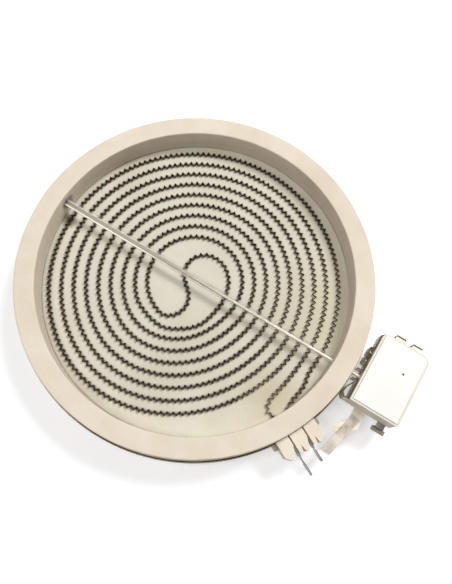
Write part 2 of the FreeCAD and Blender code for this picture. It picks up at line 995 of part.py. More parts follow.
save("dish", make_dish())
save("insulation_base", make_base())
save("insulation_ring", make_ring())
save("heating_ribbon", make_ribbon())
save("limiter_tube", make_tube())
save("expansion_rod", make_rod())
save("rod_nut", make_nut())
save("limiter_body", make_head_body())
save("limiter_lid", make_lid())
save("lid_pin", make_lid_pin())
save("power_terminal", power_terminal())
save("supply_terminal", supply_terminal())
save("lamp_terminal", lamp_terminal())
save("signal_terminal", signal_terminal())
save("power_spring", leaf_spring(power_face(), True))
save("signal_spring", leaf_spring(signal_face(), False))
save("power_contact", contact_tip(power_face() - tip_thickness))
save("signal_contact", contact_tip(signal_face() + spring_thickness + signal_gap))
save("striker", make_striker())
save("limiter_bracket", make_bracket())
save("terminal_block", make_block())
save("free_blade", make_blade(-1, free_neck_length))
save("linked_blade", make_blade(1, linked_neck_length))
save("link_strip", make_link_strip())
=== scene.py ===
import math
import random

import bmesh
import bpy
from mathutils import Matrix, Vector, noise


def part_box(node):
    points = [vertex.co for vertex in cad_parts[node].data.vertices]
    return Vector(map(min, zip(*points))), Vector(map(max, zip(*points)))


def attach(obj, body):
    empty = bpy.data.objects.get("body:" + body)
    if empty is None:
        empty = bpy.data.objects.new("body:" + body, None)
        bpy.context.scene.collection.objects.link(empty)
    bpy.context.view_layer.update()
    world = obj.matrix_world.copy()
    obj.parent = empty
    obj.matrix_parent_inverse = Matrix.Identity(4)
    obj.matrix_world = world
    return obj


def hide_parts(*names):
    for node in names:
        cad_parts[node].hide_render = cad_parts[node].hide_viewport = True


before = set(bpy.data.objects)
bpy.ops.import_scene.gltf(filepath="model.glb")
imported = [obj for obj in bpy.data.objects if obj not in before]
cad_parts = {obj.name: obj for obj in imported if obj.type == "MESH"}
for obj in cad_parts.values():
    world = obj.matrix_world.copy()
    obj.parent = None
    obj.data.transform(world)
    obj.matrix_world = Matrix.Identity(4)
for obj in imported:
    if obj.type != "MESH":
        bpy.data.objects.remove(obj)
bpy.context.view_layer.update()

# Looks of the radiant surface element. Lengths are millimetres until a mesh is made.
MM = 0.001


def node_corners(node):
    """Lowest and highest corner of a CAD node, in millimetres."""
    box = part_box(node)
    return box[0] / MM, box[1] / MM


# Sizes read from the frame
ring_low, ring_high = node_corners("insulation_ring")
tube_low, tube_high = node_corners("limiter_tube")
rod_low, rod_high = node_corners("expansion_rod")
base_low, base_high = node_corners("insulation_base")
ring_foot_radius = ring_high.x
base_top = ring_low.z
ring_top = ring_high.z
base_radius = base_high.x
ribbon_top = node_corners("heating_ribbon")[1].z
tube_y = (tube_low.y + tube_high.y) / 2
tube_z = (tube_low.z + tube_high.z) / 2
tube_radius = (tube_high.z - tube_low.z) / 2
rod_radius = (rod_high.z - rod_low.z) / 2

# Ring: section, tunnels of the tube with wider mouths, slots of the two leads
ring_width = 13.5
ring_inner_radius = ring_foot_radius - ring_width
ring_lean = 0.8
ring_edge_round = 0.9
ring_step = 1.3
ring_segments = 720
tube_fit = 0.3
mouth_radius = 5.0
mouth_depth = 3.0
lead_slot_width = 2.8
lead_slot_top = 17.7
cut_overreach = 10.0
cut_below = 1.0

# Base disc, revolved round a narrow hole that is closed afterwards
base_hole_radius = 2.0
base_hole_margin = 0.01
base_edge_round = 0.5
base_foot_round = 1.5
base_step = 1.4
base_segments = 360

# Unevenness of the pressed fibre: height, size of a lump and seed
ring_lumps = (0.10, 9.0, 3.0)
base_lumps = (0.12, 6.0, 7.0)
seed_shift = (1.0, 2.3, 0.7)
lump_dimension = 0.8
lump_lacunarity = 2.1
lump_octaves = 4

# Heating ribbon: the same double spiral as the CAD solid, with its true fold pitch
fold_pitch = 3.8
fold_depth = 2.7
fold_depth_shares = (0.93, 1.07)
fold_sag = 0.10
fold_overtone = 0.08
folds_at_rest = 0.6
samples_per_fold = 12
ribbon_seed = 11
ribbon_sunk = 0.5
ribbon_thickness = 0.18
turn_pitch = 7.95
inner_turn = 3.93
outer_turn = 8
spiral_centre = Vector((-0.8, -1.1, 0))
block_azimuth = math.radians(-26.84)
drift_end = block_azimuth + math.radians(17.9)
drift_sweep = math.radians(115)
arc_steps = 16
drift_steps = 8
curve_steps = 40
s_curve = [
    (-0.67, -3.84), (0.14, -3.39), (0.55, -2.45), (0.30, -1.42), (-0.45, -0.68),
    (-1.20, 0.20), (-1.18, 1.60), (-0.21, 2.50), (1.16, 2.47), (2.30, 1.57),
    (2.86, 0.10), (2.82, -1.38), (2.35, -2.97), (1.29, -4.03), (-0.24, -4.72),
]
outer_approach = [(1.6, 6.6), (3.2, 11.0), (6.6, 21.5)]
inner_approach = [(3.3, -6.0), (6.3, -6.2), (10.1, -1.8), (14.0, 11.9)]
lead_offset = 5.55
lead_reach = 1.2

# Tube and rod. A rod end is a row of (inset along the rod, loss of radius).
tube_wall = 0.75
tube_chamfer = 0.15
tube_segments = 64
bar_segments = 48
rod_far_end = [(0.0, 0.35), (0.15, 0.12), (0.4, 0.0)]
rod_near_end = [(0.3, 0.0), (0.0, 0.3)]

# Mesh clean-up and the angles, in degrees, past which an edge counts as sharp
weld_distance = 0.002
axis_weld_distance = 0.001
flat_angle = 0.6
edge_angle = 28.0
fibre_edge_angle = 40
ribbon_edge_angle = 50
round_edge_angle = 35.0
normal_weight = 100

# Painted shade in narrow corners of the insulation, and the ragged edge of its spots
spot_unevenness = 5.0
corner_shade_reach = 2.4
corner_shade_open = 0.72
corner_shade_full = 0.42

# Painted light along the glass tube: two glowing lines for the light it gathers
glass_across = Vector((0.0, 0.95, 0.28))
glass_low_line = -1.7
glass_low_width = 0.8
glass_high_line = 1.4
glass_high_width = 0.3
glass_high_share = 0.5
glass_line_core = 0.4
glass_fade_start = -45.0
glass_fade_end = 15.0
glass_glow = 0.4
glass_line_cover = 0.8

# Camera in the part's frame, at the photograph's viewing angle
camera_place = (67.99, -96.63, 355.5)
camera_right = Vector((0.85160, 0.52305, 0.03461))
camera_up = Vector((-0.50724, 0.80559, 0.30618))
camera_back = Vector((0.13227, -0.27829, 0.95134))
focal_length = 33.7
sensor_size = 36.0
camera_nearest = 0.01

# Stage and light. A lamp is (name, place in metres, side in metres, power in watts).
floor_reach = 4000.0
floor_level = -0.05
floor_white = 0.86
floor_bounce = 0.35
floor_lift = 0.42
world_light = 0.28
world_tint = (1.0, 0.995, 0.985, 1)
lamps = (
    ("key", (0.457, 1.406, 1.891), 0.70, 33.5),
    ("overhead", (-0.715, -0.715, 2.503), 0.90, 19.0),
)


# Node helpers

def linear(colour):
    """Linear RGBA of an 8-bit sRGB colour."""
    values = []
    for channel in colour:
        share = channel / 255
        if share <= 0.04045:
            values.append(share / 12.92)
        else:
            values.append(((share + 0.055) / 1.055) ** 2.4)
    return (*values, 1.0)


class Nodes:
    """A material's node tree with short calls for the nodes used here."""

    def __init__(self, name):
        self.material = bpy.data.materials.new(name)
        self.material.use_nodes = True
        self.tree = self.material.node_tree
        self.shader = self.tree.nodes["Principled BSDF"]
        coordinates = self.add("ShaderNodeTexCoord")
        self.place = coordinates.outputs["Object"]

    def add(self, kind, **settings):
        node = self.tree.nodes.new(kind)
        for key, value in settings.items():
            setattr(node, key, value)
        return node

    def join(self, source, target):
        self.tree.links.new(source, target)

    def maths(self, operation, first, second):
        """The result of an operation on two values, each a number or a socket."""
        node = self.add("ShaderNodeMath", operation=operation)
        for socket, value in zip(node.inputs, (first, second)):
            if isinstance(value, (int, float)):
                socket.default_value = value
            else:
                self.join(value, socket)
        return node.outputs["Value"]

    def stretched(self, scale):
        """The object coordinates, stretched along each axis."""
        mapping = self.add("ShaderNodeMapping")
        mapping.inputs["Scale"].default_value = scale
        self.join(self.place, mapping.inputs["Vector"])
        return mapping.outputs["Vector"]

    def noise(self, scale, detail, roughness=0.55, place=None):
        node = self.add("ShaderNodeTexNoise")
        node.inputs["Scale"].default_value = scale
        node.inputs["Detail"].default_value = detail
        node.inputs["Roughness"].default_value = roughness
        self.join(place or self.place, node.inputs["Vector"])
        return node.outputs["Fac"]

    def ramp(self, source, low, high, start=0.0, end=1.0):
        """Maps a value from low..high to start..end."""
        node = self.add("ShaderNodeMapRange")
        node.inputs["From Min"].default_value = low
        node.inputs["From Max"].default_value = high
        node.inputs["To Min"].default_value = start
        node.inputs["To Max"].default_value = end
        self.join(source, node.inputs["Value"])
        return node.outputs["Result"]

    def patches(self, scale, detail, low, high, start=0.0, end=1.0, roughness=0.55):
        """Noise, mapped from low..high to start..end."""
        return self.ramp(self.noise(scale, detail, roughness), low, high, start, end)

    def distance(self, centre):
        """Distance of the object coordinates from a point, unsettled by noise."""
        node = self.add("ShaderNodeVectorMath", operation="DISTANCE")
        node.inputs[1].default_value = Vector(centre) * MM
        self.join(self.place, node.inputs[0])
        ragged = self.add("ShaderNodeMath", operation="MULTIPLY_ADD")
        ragged.inputs[1].default_value = spot_unevenness * MM
        self.join(self.noise(420, 4), ragged.inputs[0])
        self.join(node.outputs["Value"], ragged.inputs[2])
        return ragged.outputs["Value"]

    def openness(self, reach):
        """1 in the open, towards 0 in narrow corners, within a reach in millimetres."""
        node = self.add("ShaderNodeAmbientOcclusion", samples=6)
        node.inputs["Distance"].default_value = reach * MM
        return node.outputs["AO"]

    def axis(self, name):
        """One object coordinate, in metres."""
        node = self.add("ShaderNodeSeparateXYZ")
        self.join(self.place, node.inputs["Vector"])
        return node.outputs[name]

    def facing_up(self):
        """Height part of the surface normal: 1 on a level top, 0 on an upright side."""
        geometry = self.add("ShaderNodeNewGeometry")
        node = self.add("ShaderNodeSeparateXYZ")
        self.join(geometry.outputs["Normal"], node.inputs["Vector"])
        return node.outputs["Z"]

    def stripe(self, offset, half_width):
        """1 on a line along the tube, at an offset from its axis, fading on both sides."""
        across = self.add("ShaderNodeVectorMath", operation="DOT_PRODUCT")
        across.inputs[1].default_value = glass_across
        self.join(self.place, across.inputs[0])
        middle = glass_across.dot(Vector((0.0, tube_y, tube_z))) + offset
        away = self.maths("SUBTRACT", across.outputs["Value"], middle * MM)
        size = self.maths("ABSOLUTE", away, 0.0)
        return self.ramp(size, half_width * MM, half_width * MM * glass_line_core)

    def blend(self, factor, first, second):
        """Mix of two colours, each an 8-bit sRGB colour or a socket."""
        node = self.add("ShaderNodeMix", data_type="RGBA")
        self.join(factor, node.inputs[0])
        for socket, colour in ((node.inputs[6], first), (node.inputs[7], second)):
            if isinstance(colour, tuple):
                socket.default_value = linear(colour)
            else:
                self.join(colour, socket)
        return node.outputs[2]

    def colour(self, source):
        self.join(source, self.shader.inputs["Base Color"])

    def roughness(self, source):
        self.join(source, self.shader.inputs["Roughness"])

    def bump(self, source, distance, strength):
        """Adds relief on top of what the normal already carries."""
        node = self.add("ShaderNodeBump")
        node.inputs["Distance"].default_value = distance
        node.inputs["Strength"].default_value = strength
        self.join(source, node.inputs["Height"])
        below = self.shader.inputs["Normal"]
        if below.is_linked:
            self.join(below.links[0].from_socket, node.inputs["Normal"])
        self.join(node.outputs["Normal"], below)


# Materials

def insulation(name, pale, tan, stain, corner_shade=None, spots=()):
    """Pressed mineral insulation: mottled, dusty, with fine grain and small pits.

    Corner shade is painted shade: the tone that narrow corners take, where shade falls.
    A spot is (centre, radius, core, tone).
    """
    nodes = Nodes(name)
    colour = nodes.blend(nodes.patches(45, 6, 0.35, 0.65, roughness=0.6), pale, tan)
    colour = nodes.blend(nodes.patches(11, 3, 0.56, 0.78, 0.0, 0.55), colour, stain)
    colour = nodes.blend(nodes.patches(900, 2, 0.66, 0.78, 0.0, 0.45), colour, stain)
    # Painted shade: the tone darkens in narrow corners, such as between the ribbon's folds
    if corner_shade:
        shaded_corner = nodes.ramp(nodes.openness(corner_shade_reach), corner_shade_open, corner_shade_full)
        colour = nodes.blend(shaded_corner, colour, corner_shade)
    for centre, radius, core, tone in spots:
        spot = nodes.ramp(nodes.distance(centre), radius * MM, radius * core * MM)
        colour = nodes.blend(spot, colour, tone)
    nodes.colour(colour)
    nodes.bump(nodes.noise(260, 6, 0.7), 0.0004, 0.55)
    nodes.bump(nodes.noise(1500, 3, 0.6), 0.0001, 0.5)
    nodes.shader.inputs["Roughness"].default_value = 0.95
    nodes.shader.inputs["Specular IOR Level"].default_value = 0.15
    return nodes.material


def ceramic(name, pale, shade, speck, gloss):
    """Dry-pressed ceramic: smooth, faintly speckled, slightly uneven in tone."""
    nodes = Nodes(name)
    colour = nodes.blend(nodes.patches(60, 4, 0.35, 0.7), pale, shade)
    dots = nodes.patches(1300, 2, 0.68, 0.78, 0.0, 0.6)
    nodes.colour(nodes.blend(dots, colour, speck))
    nodes.roughness(nodes.patches(180, 3, 0.3, 0.7, gloss, gloss + 0.15))
    nodes.bump(nodes.noise(700, 4, 0.6), 0.00008, 0.4)
    return nodes.material


def steel(name, bright, dull, low, high, grain=(1, 1, 1), metallic=1.0, marks=()):
    """Sheet metal with drawn grain, smudges and roughness from low to high.

    A mark is (source, start, end, tone): another tone as the source passes from
    start to end. The source is an axis, or "up" for faces that look up.
    """
    nodes = Nodes(name)
    streaks = nodes.noise(300, 5, 0.6, nodes.stretched(grain))
    colour = nodes.blend(nodes.patches(90, 4, 0.38, 0.66), bright, dull)
    colour = nodes.blend(nodes.ramp(streaks, 0.35, 0.7, 0.0, 0.4), colour, dull)
    for source, start, end, tone in marks:
        place = nodes.facing_up() if source == "up" else nodes.axis(source)
        colour = nodes.blend(nodes.ramp(place, start, end), colour, tone)
    nodes.colour(colour)
    nodes.roughness(nodes.ramp(streaks, 0.3, 0.7, low, high))
    nodes.bump(streaks, 0.00005, 0.35)
    nodes.shader.inputs["Metallic"].default_value = metallic
    return nodes.material


def oxidised_alloy(name):
    """Heater strip after firing: dark brown oxide, a little paler along worn patches."""
    nodes = Nodes(name)
    worn = nodes.patches(420, 4, 0.36, 0.68)
    colour = nodes.blend(worn, (66, 52, 30), (114, 92, 58))
    drift = nodes.patches(22, 2, 0.4, 0.7, 0.0, 0.5)
    nodes.colour(nodes.blend(drift, colour, (80, 62, 38)))
    nodes.roughness(nodes.patches(700, 3, 0.3, 0.7, 0.55, 0.8))
    nodes.bump(nodes.noise(1800, 3), 0.00003, 0.5)
    nodes.shader.inputs["Specular IOR Level"].default_value = 0.2
    return nodes.material


def quartz(name):
    """Clear thin-walled tube, whitened at its edges by painted reflection.

    Two painted lines of light, which glow, run along it and fade on the way to the switch
    head.
    """
    nodes = Nodes(name)
    veil = nodes.patches(60, 3, 0.35, 0.7)
    nodes.colour(nodes.blend(veil, (255, 255, 252), (240, 238, 230)))
    nodes.roughness(nodes.patches(90, 3, 0.4, 0.75, 0.12, 0.2))
    # Painted highlights: two lines along the tube, made to glow
    high_line = nodes.stripe(glass_high_line, glass_high_width)
    high_line = nodes.ramp(high_line, 0.0, 1.0, 0.0, glass_high_share)
    low_line = nodes.stripe(glass_low_line, glass_low_width)
    lines = nodes.maths("MAXIMUM", low_line, high_line)
    fade = nodes.ramp(nodes.axis("X"), glass_fade_end * MM, glass_fade_start * MM)
    lit = nodes.maths("MULTIPLY", lines, fade)
    # Painted reflection: the tube turns white towards its edges
    rim = nodes.add("ShaderNodeLayerWeight")
    rim.inputs["Blend"].default_value = 0.5
    painted_rim_reflection = nodes.ramp(rim.outputs["Facing"], 0.3, 0.9, 0.03, 0.3)
    covered = nodes.ramp(lit, 0.0, 1.0, 0.0, glass_line_cover)
    glow = nodes.ramp(lit, 0.0, 1.0, 0.0, glass_glow)
    nodes.join(nodes.maths("MAXIMUM", painted_rim_reflection, covered), nodes.shader.inputs["Alpha"])
    nodes.join(glow, nodes.shader.inputs["Emission Strength"])
    nodes.shader.inputs["IOR"].default_value = 1.46
    nodes.shader.inputs["Emission Color"].default_value = linear((255, 250, 236))
    return nodes.material


# Mesh helpers

def shade(mesh, angle):
    """Smooth shading, kept sharp over edges steeper than the angle."""
    for polygon in mesh.polygons:
        polygon.use_smooth = True
    mesh.set_sharp_from_angle(angle=math.radians(angle))


def finish_piece(piece, material, slot, *nodes):
    """Material, body and the CAD nodes that a piece stands for. The finish slot is not used.
    """
    piece.data.materials.clear()
    piece.data.materials.append(material)
    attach(piece, "root")
    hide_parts(*nodes)


def mesh_object(name, vertices, faces):
    """A new object from millimetre vertices."""
    mesh = bpy.data.meshes.new(name)
    mesh.from_pydata([Vector(vertex) * MM for vertex in vertices], [], faces)
    mesh.validate()
    return linked_object(name, mesh)


def linked_object(name, data):
    """A new object in the scene."""
    piece = bpy.data.objects.new(name, data)
    bpy.context.scene.collection.objects.link(piece)
    return piece


def directions(segments):
    """Cosine and sine of evenly spaced angles round a circle."""
    angles = [math.tau * step / segments for step in range(segments)]
    return [(math.cos(angle), math.sin(angle)) for angle in angles]


def closed_grid(rows):
    """Vertices and faces of a surface whose rows and columns both close on themselves."""
    columns = len(rows[0])
    vertices = [point for row in rows for point in row]
    faces = []
    for row in range(len(rows)):
        after = (row + 1) % len(rows)
        for column in range(columns):
            near = (column + 1) % columns
            faces.append((row * columns + column, row * columns + near,
                          after * columns + near, after * columns + column))
    return vertices, faces


def revolved(name, profile, segments):
    """A ring-shaped piece from a closed profile of (radius, height)."""
    rows = []
    for x, y in directions(segments):
        rows.append([(radius * x, radius * y, height) for radius, height in profile])
    return mesh_object(name, *closed_grid(rows))


def rounded_profile(corners, rounding, step):
    """Closed profile with its corners rounded and its long sides divided."""
    count = len(corners)
    profile = []
    for index in range(count):
        before = Vector(corners[index - 1])
        here = Vector(corners[index])
        after = Vector(corners[(index + 1) % count])
        into = (here - before).normalized()
        out = (after - here).normalized()
        start = here - into * rounding[index]
        end = here + out * rounding[index]
        if rounding[index] > 0:
            for share in (0.0, 0.2, 0.4, 0.6, 0.8, 1.0):
                rest = 1 - share
                point = start * rest ** 2 + here * 2 * share * rest + end * share ** 2
                profile.append(tuple(point))
        else:
            profile.append(tuple(here))
        stop = after - out * rounding[(index + 1) % count]
        divisions = max(1, int((stop - end).length / step))
        for division in range(1, divisions):
            profile.append(tuple(end.lerp(stop, division / divisions)))
    return profile


def roughen(piece, amplitude, size, seed):
    """Moves each vertex along its normal by fractal noise, as pressed fibre is uneven."""
    mesh = piece.data
    shift = Vector([seed * share for share in seed_shift])
    normals = [vertex.normal.copy() for vertex in mesh.vertices]
    for vertex, normal in zip(mesh.vertices, normals):
        place = vertex.co / (size * MM) + shift
        lump = noise.fractal(place, lump_dimension, lump_lacunarity, lump_octaves)
        vertex.co += normal * amplitude * MM * lump
    mesh.update()


def keep_inside(piece, low, high):
    """Keeps a roughened piece inside its CAD solid's box."""
    for vertex in piece.data.vertices:
        for axis in range(3):
            vertex.co[axis] = min(max(vertex.co[axis], low[axis] * MM), high[axis] * MM)


def tube_mesh(name, outer, inner, start, end, y, z):
    """A tube along X with eased ends."""
    chamfer = tube_chamfer
    profile = [
        (start + chamfer, outer), (end - chamfer, outer), (end, outer - chamfer),
        (end, inner + chamfer), (end - chamfer, inner), (start + chamfer, inner),
        (start, inner + chamfer), (start, outer - chamfer),
    ]
    rows = []
    for across, up in directions(tube_segments):
        rows.append([(x, y + radius * across, z + radius * up) for x, radius in profile])
    return mesh_object(name, *closed_grid(rows))


def bar_mesh(name, sections, y, z):
    """A solid bar along X from (x, radius) sections, closed at both ends."""
    vertices = []
    for x, radius in sections:
        for across, up in directions(bar_segments):
            vertices.append((x, y + radius * across, z + radius * up))
    faces = []
    for row in range(len(sections) - 1):
        for step in range(bar_segments):
            near = (step + 1) % bar_segments
            low = row * bar_segments
            high = low + bar_segments
            faces.append((low + step, high + step, high + near, low + near))
    faces.append(tuple(range(bar_segments)))
    last = (len(sections) - 1) * bar_segments
    faces.append(tuple(last + step for step in reversed(range(bar_segments))))
    return mesh_object(name, vertices, faces)


def block_tool(low, high, azimuth):
    """A cutting box, turned about the dish axis."""
    vertices = []
    for x in (low[0], high[0]):
        for y in (low[1], high[1]):
            for z in (low[2], high[2]):
                vertices.append((x, y, z))
    faces = [
        (0, 1, 3, 2), (4, 6, 7, 5), (0, 4, 5, 1), (2, 3, 7, 6), (0, 2, 6, 4), (1, 5, 7, 3),
    ]
    piece = mesh_object("tool", vertices, faces)
    piece.data.transform(Matrix.Rotation(azimuth, 4, "Z"))
    return piece


def cut(piece, tools):
    """Boolean difference, applied; the tools are removed."""
    for tool in tools:
        modifier = piece.modifiers.new("cut", "BOOLEAN")
        modifier.operation = "DIFFERENCE"
        modifier.solver = "EXACT"
        modifier.object = tool
    apply_modifiers(piece)
    for tool in tools:
        bpy.data.objects.remove(tool)


def apply_modifiers(piece):
    """Replaces the mesh by its evaluated form."""
    bpy.context.view_layer.update()
    evaluated = piece.evaluated_get(bpy.context.evaluated_depsgraph_get())
    mesh = bpy.data.meshes.new_from_object(evaluated)
    mesh.name = piece.name
    piece.modifiers.clear()
    piece.data = mesh


def weld(mesh, distance, dissolve=False):
    """Joins vertices that lie together and, if asked, clears edges across flat faces."""
    shape = bmesh.new()
    shape.from_mesh(mesh)
    bmesh.ops.remove_doubles(shape, verts=shape.verts, dist=distance * MM)
    if dissolve:
        bmesh.ops.dissolve_limit(
            shape, angle_limit=math.radians(flat_angle), verts=shape.verts, edges=shape.edges,
        )
    shape.to_mesh(mesh)
    shape.free()


def dressed(node, material, slot, bevel, segments):
    """A CAD node's form with eased edges and smooth curves."""
    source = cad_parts[node]
    mesh = source.data.copy()
    weld(mesh, weld_distance, dissolve=True)
    shade(mesh, edge_angle)
    piece = linked_object(node + "_dressed", mesh)
    eased = piece.modifiers.new("eased", "BEVEL")
    eased.width = bevel * MM
    eased.segments = segments
    eased.limit_method = "ANGLE"
    eased.angle_limit = math.radians(edge_angle)
    eased.use_clamp_overlap = True
    even = piece.modifiers.new("even", "WEIGHTED_NORMAL")
    even.weight = normal_weight
    apply_modifiers(piece)
    finish_piece(piece, material, slot, node)


# Insulation

def make_ring(material):
    """Ring with eased edges, two tube tunnels with wider mouths and two lead slots."""
    corners = [
        (ring_inner_radius, base_top), (ring_inner_radius, ring_top),
        (ring_foot_radius - ring_lean, ring_top), (ring_foot_radius, base_top),
    ]
    profile = rounded_profile(corners, [0, ring_edge_round, ring_edge_round, 0], ring_step)
    ring = revolved("ring_dressed", profile, ring_segments)
    roughen(ring, *ring_lumps)
    keep_inside(ring, ring_low, ring_high)
    cut_start = base_radius / 2
    cut_end = base_radius + cut_overreach
    tunnels = (
        (cut_end, tube_radius + tube_fit),
        (ring_inner_radius + mouth_depth, mouth_radius),
    )
    tools = []
    for side in (-1, 1):
        for reach, radius in tunnels:
            start, end = sorted((side * cut_start, side * reach))
            tools.append(bar_mesh("tool", [(start, radius), (end, radius)], tube_y, tube_z))
        middle = side * lead_offset
        tools.append(block_tool(
            (cut_start, middle - lead_slot_width / 2, base_top - cut_below),
            (cut_end, middle + lead_slot_width / 2, lead_slot_top),
            block_azimuth,
        ))
    cut(ring, tools)
    shade(ring.data, fibre_edge_angle)
    finish_piece(ring, material, "ring_insulation", "insulation_ring")


def make_base(material):
    """Pressed disc under the ribbon."""
    corners = [
        (base_hole_radius, base_low.z), (base_hole_radius, base_top),
        (base_radius, base_top), (base_radius, base_low.z),
    ]
    profile = rounded_profile(corners, [0, 0, base_edge_round, base_foot_round], base_step)
    base = revolved("base_dressed", profile, base_segments)
    fill_axis(base)
    roughen(base, *base_lumps)
    keep_inside(base, base_low, base_high)
    shade(base.data, fibre_edge_angle)
    finish_piece(base, material, "base_insulation", "insulation_base")


def fill_axis(piece):
    """Closes the narrow hole that a revolved profile leaves at its axis."""
    reach = (base_hole_radius + base_hole_margin) * MM
    for vertex in piece.data.vertices:
        if math.hypot(vertex.co.x, vertex.co.y) < reach:
            vertex.co.x = 0.0
            vertex.co.y = 0.0
    weld(piece.data, axis_weld_distance)


# Heating ribbon

def turn_radius(turn):
    return (inner_turn + turn) * turn_pitch


def strand_points(start_turn):
    """One strand from outside inwards: constant radius, then an eased drift by the block."""
    drift_start = drift_end + math.tau - drift_sweep
    polar = []
    for turn in range(start_turn, -1, -2):
        for step in range(arc_steps):
            angle = drift_end + (drift_start - drift_end) * step / arc_steps
            polar.append((turn_radius(turn), angle))
        if turn < 2:
            polar.append((turn_radius(turn), drift_start))
            break
        for step in range(drift_steps):
            share = step / drift_steps
            ease = (1 - math.cos(math.pi * share)) / 2
            radius = turn_radius(turn) + (turn_radius(turn - 2) - turn_radius(turn)) * ease
            polar.append((radius, drift_start + drift_sweep * share))
    points = []
    for radius, angle in polar:
        offset = Vector((radius * math.cos(angle), radius * math.sin(angle), 0))
        points.append(spiral_centre + offset)
    return points


def approach_points(offsets, side):
    """From the slot in the ring wall to the start of a strand."""
    pairs = [(-lead_reach, side * lead_offset), (lead_reach / 2, side * lead_offset)]
    turn = Matrix.Rotation(block_azimuth, 3, "Z")
    return [turn @ Vector((ring_inner_radius - inward, along, 0))
            for inward, along in pairs + offsets]


def ribbon_route():
    """From one lead slot through both strands and the S-curve to the other slot."""
    middle = [spiral_centre + Vector((x, y, 0)) * turn_pitch for x, y in s_curve]
    way_in = approach_points(outer_approach, 1) + strand_points(outer_turn)
    way_out = approach_points(inner_approach, -1) + strand_points(outer_turn - 1)
    return way_in + middle + way_out[::-1]


def smooth_line(points, spacing):
    """Centripetal Catmull-Rom curve through the points, at even spacing along it."""
    fine = []
    ends = [points[0] * 2 - points[1]] + points + [points[-1] * 2 - points[-2]]
    for index in range(1, len(ends) - 2):
        p0, p1, p2, p3 = ends[index - 1:index + 3]
        t1 = math.sqrt((p1 - p0).length)
        t2 = t1 + math.sqrt((p2 - p1).length)
        t3 = t2 + math.sqrt((p3 - p2).length)
        for step in range(curve_steps):
            t = t1 + (t2 - t1) * step / curve_steps
            a1 = p0.lerp(p1, t / t1)
            a2 = p1.lerp(p2, (t - t1) / (t2 - t1))
            a3 = p2.lerp(p3, (t - t2) / (t3 - t2))
            b1 = a1.lerp(a2, t / t2)
            b2 = a2.lerp(a3, (t - t1) / (t3 - t1))
            fine.append(b1.lerp(b2, (t - t1) / (t2 - t1)))
    fine.append(points[-1])
    even = [fine[0]]
    travelled = 0.0
    for before, after in zip(fine, fine[1:]):
        length = (after - before).length
        while travelled + length >= spacing * len(even) and length > 0:
            share = (spacing * len(even) - travelled) / length
            even.append(before.lerp(after, share))
        travelled += length
    return even


def sideways(points, index):
    """Unit vector square to a line in plan, at one of its points."""
    after = points[min(index + 1, len(points) - 1)]
    along = (after - points[max(index - 1, 0)]).normalized()
    return Vector((-along.y, along.x, 0))


def folded(line, depths):
    """The line swung to both sides in rounded folds, straight at its two ends."""
    last = len(line) - 1
    plan = []
    for index, point in enumerate(line):
        phase = math.tau * index / samples_per_fold
        wave = math.sin(phase) - fold_overtone * math.sin(3 * phase)
        folds_from_end = min(index, last - index) / samples_per_fold
        share = min(1.0, max(0.0, folds_from_end - folds_at_rest))
        swing = depths[index // samples_per_fold] * wave * share
        plan.append(point + sideways(line, index) * swing)
    return plan


def make_ribbon(material):
    """Thin strip on edge, folded in rounded waves that vary a little from fold to fold."""
    line = smooth_line(ribbon_route(), fold_pitch / samples_per_fold)
    dice = random.Random(ribbon_seed)
    folds = len(line) // samples_per_fold + 2
    depths = [fold_depth / 2 * dice.uniform(*fold_depth_shares) for _ in range(folds)]
    heights = [dice.uniform(-fold_sag, 0.0) for _ in range(folds)]
    plan = folded(line, depths)
    low = base_top - ribbon_sunk
    vertices = []
    for index, point in enumerate(plan):
        side = sideways(plan, index) * ribbon_thickness / 2
        high = ribbon_top + heights[index // samples_per_fold]
        for offset, level in ((side, low), (side, high), (-side, high), (-side, low)):
            vertices.append((point.x + offset.x, point.y + offset.y, level))
    last = len(plan) - 1
    faces = []
    for index in range(last):
        near = 4 * index
        far = near + 4
        for edge in range(4):
            after = (edge + 1) % 4
            faces.append((near + edge, near + after, far + after, far + edge))
    faces.append((3, 2, 1, 0))
    faces.append(tuple(4 * last + edge for edge in range(4)))
    ribbon = mesh_object("ribbon_dressed", vertices, faces)
    shade(ribbon.data, ribbon_edge_angle)
    finish_piece(ribbon, material, "ribbon_alloy", "heating_ribbon")


# Limiter tube and rod

def make_tube(material):
    tube = tube_mesh("tube_dressed", tube_radius, tube_radius - tube_wall,
                     tube_low.x, tube_high.x, tube_y, tube_z)
    shade(tube.data, round_edge_angle)
    finish_piece(tube, material, "tube_quartz", "limiter_tube")


def make_rod(material):
    sections = [(rod_low.x + inset, rod_radius - loss) for inset, loss in rod_far_end]
    sections += [(rod_high.x - inset, rod_radius - loss) for inset, loss in rod_near_end]
    rod = bar_mesh("rod_dressed", sections, tube_y, tube_z)
    shade(rod.data, round_edge_angle)
    finish_piece(rod, material, "rod_alloy", "expansion_rod")


# Stage

def make_camera():
    camera = linked_object("camera", bpy.data.cameras.new("camera"))
    turn = Matrix((camera_right, camera_up, camera_back)).transposed()
    camera.matrix_world = Matrix.Translation(Vector(camera_place) * MM) @ turn.to_4x4()
    camera.data.sensor_width = sensor_size
    camera.data.lens = focal_length
    camera.data.clip_start = camera_nearest
    bpy.context.scene.camera = camera


def seen_or_mirrored(nodes):
    """1 for camera, glossy and transmission rays, otherwise 0."""
    path = nodes.new("ShaderNodeLightPath")
    total = path.outputs["Is Camera Ray"]
    links = path.id_data.links
    for name in ("Is Glossy Ray", "Is Transmission Ray"):
        higher = nodes.new("ShaderNodeMath")
        higher.operation = "MAXIMUM"
        links.new(total, higher.inputs[0])
        links.new(path.outputs[name], higher.inputs[1])
        total = higher.outputs[0]
    return total


